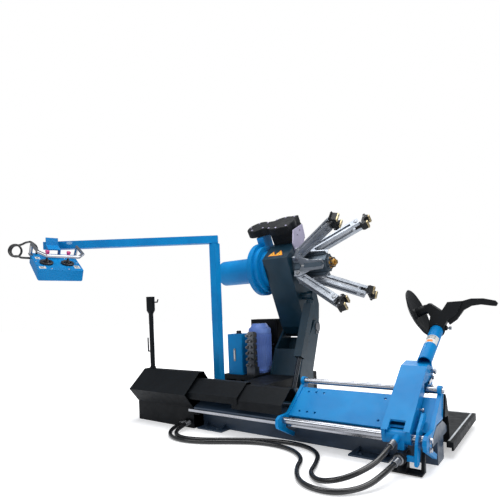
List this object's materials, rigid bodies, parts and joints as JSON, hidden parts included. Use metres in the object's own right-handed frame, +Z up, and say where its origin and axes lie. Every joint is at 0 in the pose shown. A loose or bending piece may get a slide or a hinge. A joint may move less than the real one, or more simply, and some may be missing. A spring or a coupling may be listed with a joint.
{
  "type": "truck tyre changer",
  "caption": "Floor-standing truck tyre changer: hydraulic self-centring chuck on a lifting arm, sliding carriage with bead disc and hook, and a control console on a swing boom.",
  "frame": {"origin": "on the floor under the middle of the bed beam", "axes": "+X along the bed towards the tool end, +Y away from the operator, +Z up"},
  "size_m": [3.1588, 2.0314, 1.6314],
  "materials": {
    "bed_paint": "semi-gloss slate blue enamel",
    "chrome": "hard chrome",
    "black_sheet": "satin black powder coat",
    "arm_navy": "satin near-black blue enamel",
    "steel": "turned and zinc-plated steel",
    "machine_blue": "semi-gloss blue enamel, light scuffs on edges",
    "motor_blue": "gloss violet-blue enamel",
    "hose_rubber": "ribbed rubber sheath",
    "aluminium": "satin extruded aluminium",
    "brass": "plain brass",
    "cast_black": "black painted casting",
    "plastic_black": "matt moulded plastic"
  },
  "bodies": {
    "base": {"bed_beam": "bed_paint", "bed_rail": "chrome", "housing": "black_sheet", "tool_post": "black_sheet", "cross_beam": "black_sheet", "column": "arm_navy", "pivot_pin": "steel", "lift_foot": "arm_navy", "post": "machine_blue", "pump_tray": "black_sheet", "oil_tank": "black_sheet", "pump_motor": "motor_blue", "valve_stack": "steel", "switch_cabinet": "machine_blue", "hose_low": "hose_rubber", "hose_high": "hose_rubber"},
    "cover": {"cover_middle": "black_sheet"},
    "carriage": {"cover_lower": "black_sheet", "end_plates": "machine_blue", "slope_plate": "machine_blue", "guide_bars": "chrome", "platform": "black_sheet", "platform_hanger": "black_sheet"},
    "lift_rod": {"lift_rod": "chrome"},
    "lift_barrel": {"lift_barrel": "arm_navy"},
    "arm": {"chuck_arm": "arm_navy", "gear_case": "machine_blue", "opening_cylinder": "machine_blue", "drive_cover": "black_sheet", "drive_motor": "black_sheet", "motor_bracket": "aluminium"},
    "chuck": {"chuck_body": "black_sheet", "chuck_lugs": "aluminium", "chuck_pins": "steel"},
    "nose": {"chuck_nose": "brass"},
    "slide": {"slide_shoe": "machine_blue", "feed_motor": "cast_black"},
    "tool_arm": {"tool_box": "machine_blue", "tool_tube": "machine_blue", "tool_pins": "chrome"},
    "latch": {"tool_latch": "chrome"},
    "head": {"head_block": "cast_black", "bead_hook": "cast_black"},
    "disc": {"bead_disc": "cast_black"},
    "index_pin": {"index_pin": "chrome"},
    "boom": {"boom": "machine_blue"},
    "console": {"console": "machine_blue", "guard_rail": "chrome", "joystick_collars": "plastic_black", "console_cables": "hose_rubber"},
    "stick_left": {"joystick_left": "plastic_black"},
    "stick_right": {"joystick_right": "plastic_black"},
    "claw_1": {"claw_arm_1": "aluminium"},
    "jaw_1": {"jaw_1": "cast_black"},
    "claw_2": {"claw_arm_2": "aluminium"},
    "jaw_2": {"jaw_2": "cast_black"},
    "claw_3": {"claw_arm_3": "aluminium"},
    "jaw_3": {"jaw_3": "cast_black"},
    "claw_4": {"claw_arm_4": "aluminium"},
    "jaw_4": {"jaw_4": "cast_black"}
  },
  "joints": [
    {"name": "carriage_slide", "type": "slide", "parent": "base", "child": "carriage", "axis": [1, 0, 0], "range_m": [-0.3, 0]},
    {"name": "cover_slide", "type": "slide", "parent": "base", "child": "cover", "axis": [1, 0, 0], "range_m": [-0.15, 0]},
    {"name": "arm_lift", "type": "hinge", "parent": "base", "child": "arm", "pos_m": [-0.62, 1.1, 0.645], "axis": [1, 0, 0], "range_deg": [-8, 28]},
    {"name": "lift_rod_tilt", "type": "hinge", "parent": "base", "child": "lift_rod", "pos_m": [-0.42, 0.562, 0.165], "axis": [1, 0, 0], "range_deg": [-1.3, 4.5]},
    {"name": "lift_stroke", "type": "slide", "parent": "lift_rod", "child": "lift_barrel", "axis": [0, 0.4304, 0.9026], "range_m": [-0.1475, 0.0425]},
    {"name": "chuck_spin", "type": "hinge", "parent": "arm", "child": "chuck", "pos_m": [-0.45, 0.848, 1.175], "axis": [1, 0, 0], "continuous": true},
    {"name": "nose_slide", "type": "slide", "parent": "chuck", "child": "nose", "axis": [1, 0, 0], "range_m": [-0.0088, 0.0193]},
    {"name": "tool_slide", "type": "slide", "parent": "carriage", "child": "slide", "axis": [-1, 0, 0], "range_m": [0, 0.3]},
    {"name": "tool_tilt", "type": "hinge", "parent": "slide", "child": "tool_arm", "pos_m": [0.63, -0.204, 0.162], "axis": [1, 0, 0], "range_deg": [0, 60]},
    {"name": "latch_turn", "type": "hinge", "parent": "tool_arm", "child": "latch", "pos_m": [0.705, 0.196, 0.396], "axis": [-1, 0, 0], "range_deg": [0, 35]},
    {"name": "head_turn", "type": "hinge", "parent": "tool_arm", "child": "head", "pos_m": [0.672, 0.48502, 0.64106], "axis": [0, 0.8949, 0.4462], "range_deg": [0, 180]},
    {"name": "disc_spin", "type": "hinge", "parent": "head", "child": "disc", "pos_m": [0.553, 0.5, 0.75], "axis": [0.9245, 0, 0.3811], "continuous": true},
    {"name": "index_pull", "type": "slide", "parent": "head", "child": "index_pin", "axis": [1, 0, 0], "range_m": [0, 0.012], "stiffness_N_per_m": 900},
    {"name": "boom_swing", "type": "hinge", "parent": "base", "child": "boom", "pos_m": [-0.93, 0.28, 1.36], "axis": [0, 0, 1], "range_deg": [-20, 80]},
    {"name": "console_turn", "type": "hinge", "parent": "boom", "child": "console", "pos_m": [-1.97771, -0.48962, 1.4245], "axis": [0, 0, 1], "range_deg": [-60, 0]},
    {"name": "stick_left_tilt", "type": "hinge", "parent": "console", "child": "stick_left", "pos_m": [-1.74154, -0.67073, 1.20949], "axis": [0.2823, 0.9593, 0], "range_deg": [-15, 15], "stiffness_Nm_per_rad": 2.5},
    {"name": "stick_right_tilt", "type": "hinge", "parent": "console", "child": "stick_right", "pos_m": [-1.70032, -0.53067, 1.20949], "axis": [0.2823, 0.9593, 0], "range_deg": [-15, 15], "stiffness_Nm_per_rad": 2.5},
    {"name": "claw_1_swing", "type": "hinge", "parent": "chuck", "child": "claw_1", "pos_m": [-0.43, 0.92624, 1.27882], "axis": [0, 0.7986, -0.6018], "range_deg": [-10, 22]},
    {"name": "jaw_1_level", "type": "hinge", "parent": "claw_1", "child": "jaw_1", "pos_m": [-0.0509, 1.08304, 1.4869], "axis": [0, 0.7986, -0.6018], "range_deg": [-22, 10]},
    {"name": "claw_2_swing", "type": "hinge", "parent": "chuck", "child": "claw_2", "pos_m": [-0.43, 0.74418, 1.25324], "axis": [0, 0.6018, 0.7986], "range_deg": [-10, 22]},
    {"name": "jaw_2_level", "type": "hinge", "parent": "claw_2", "child": "jaw_2", "pos_m": [-0.0509, 0.53609, 1.41004], "axis": [0, 0.6018, 0.7986], "range_deg": [-22, 10]},
    {"name": "claw_3_swing", "type": "hinge", "parent": "chuck", "child": "claw_3", "pos_m": [-0.43, 0.76976, 1.07118], "axis": [0, -0.7986, 0.6018], "range_deg": [-10, 22]},
    {"name": "jaw_3_level", "type": "hinge", "parent": "claw_3", "child": "jaw_3", "pos_m": [-0.0509, 0.61296, 0.86309], "axis": [0, -0.7986, 0.6018], "range_deg": [-22, 10]},
    {"name": "claw_4_swing", "type": "hinge", "parent": "chuck", "child": "claw_4", "pos_m": [-0.43, 0.95182, 1.09676], "axis": [0, -0.6018, -0.7986], "range_deg": [-10, 22]},
    {"name": "jaw_4_level", "type": "hinge", "parent": "claw_4", "child": "jaw_4", "pos_m": [-0.0509, 1.1599, 0.93996], "axis": [0, -0.6018, -0.7986], "range_deg": [-22, 10]}
  ],
  "couplings": [
    {"joint": "cover_slide", "follows": "carriage_slide", "ratio": 0.5},
    {"joint": "lift_rod_tilt", "follows": "arm_lift", "ratio": 0.158},
    {"joint": "lift_stroke", "follows": "arm_lift", "m_per_rad": -0.3008},
    {"joint": "nose_slide", "follows": "claw_1_swing", "m_per_rad": 0.05},
    {"joint": "jaw_1_level", "follows": "claw_1_swing", "ratio": -1},
    {"joint": "claw_2_swing", "follows": "claw_1_swing", "ratio": 1},
    {"joint": "jaw_2_level", "follows": "claw_1_swing", "ratio": -1},
    {"joint": "claw_3_swing", "follows": "claw_1_swing", "ratio": 1},
    {"joint": "jaw_3_level", "follows": "claw_1_swing", "ratio": -1},
    {"joint": "claw_4_swing", "follows": "claw_1_swing", "ratio": 1},
    {"joint": "jaw_4_level", "follows": "claw_1_swing", "ratio": -1}
  ]
}
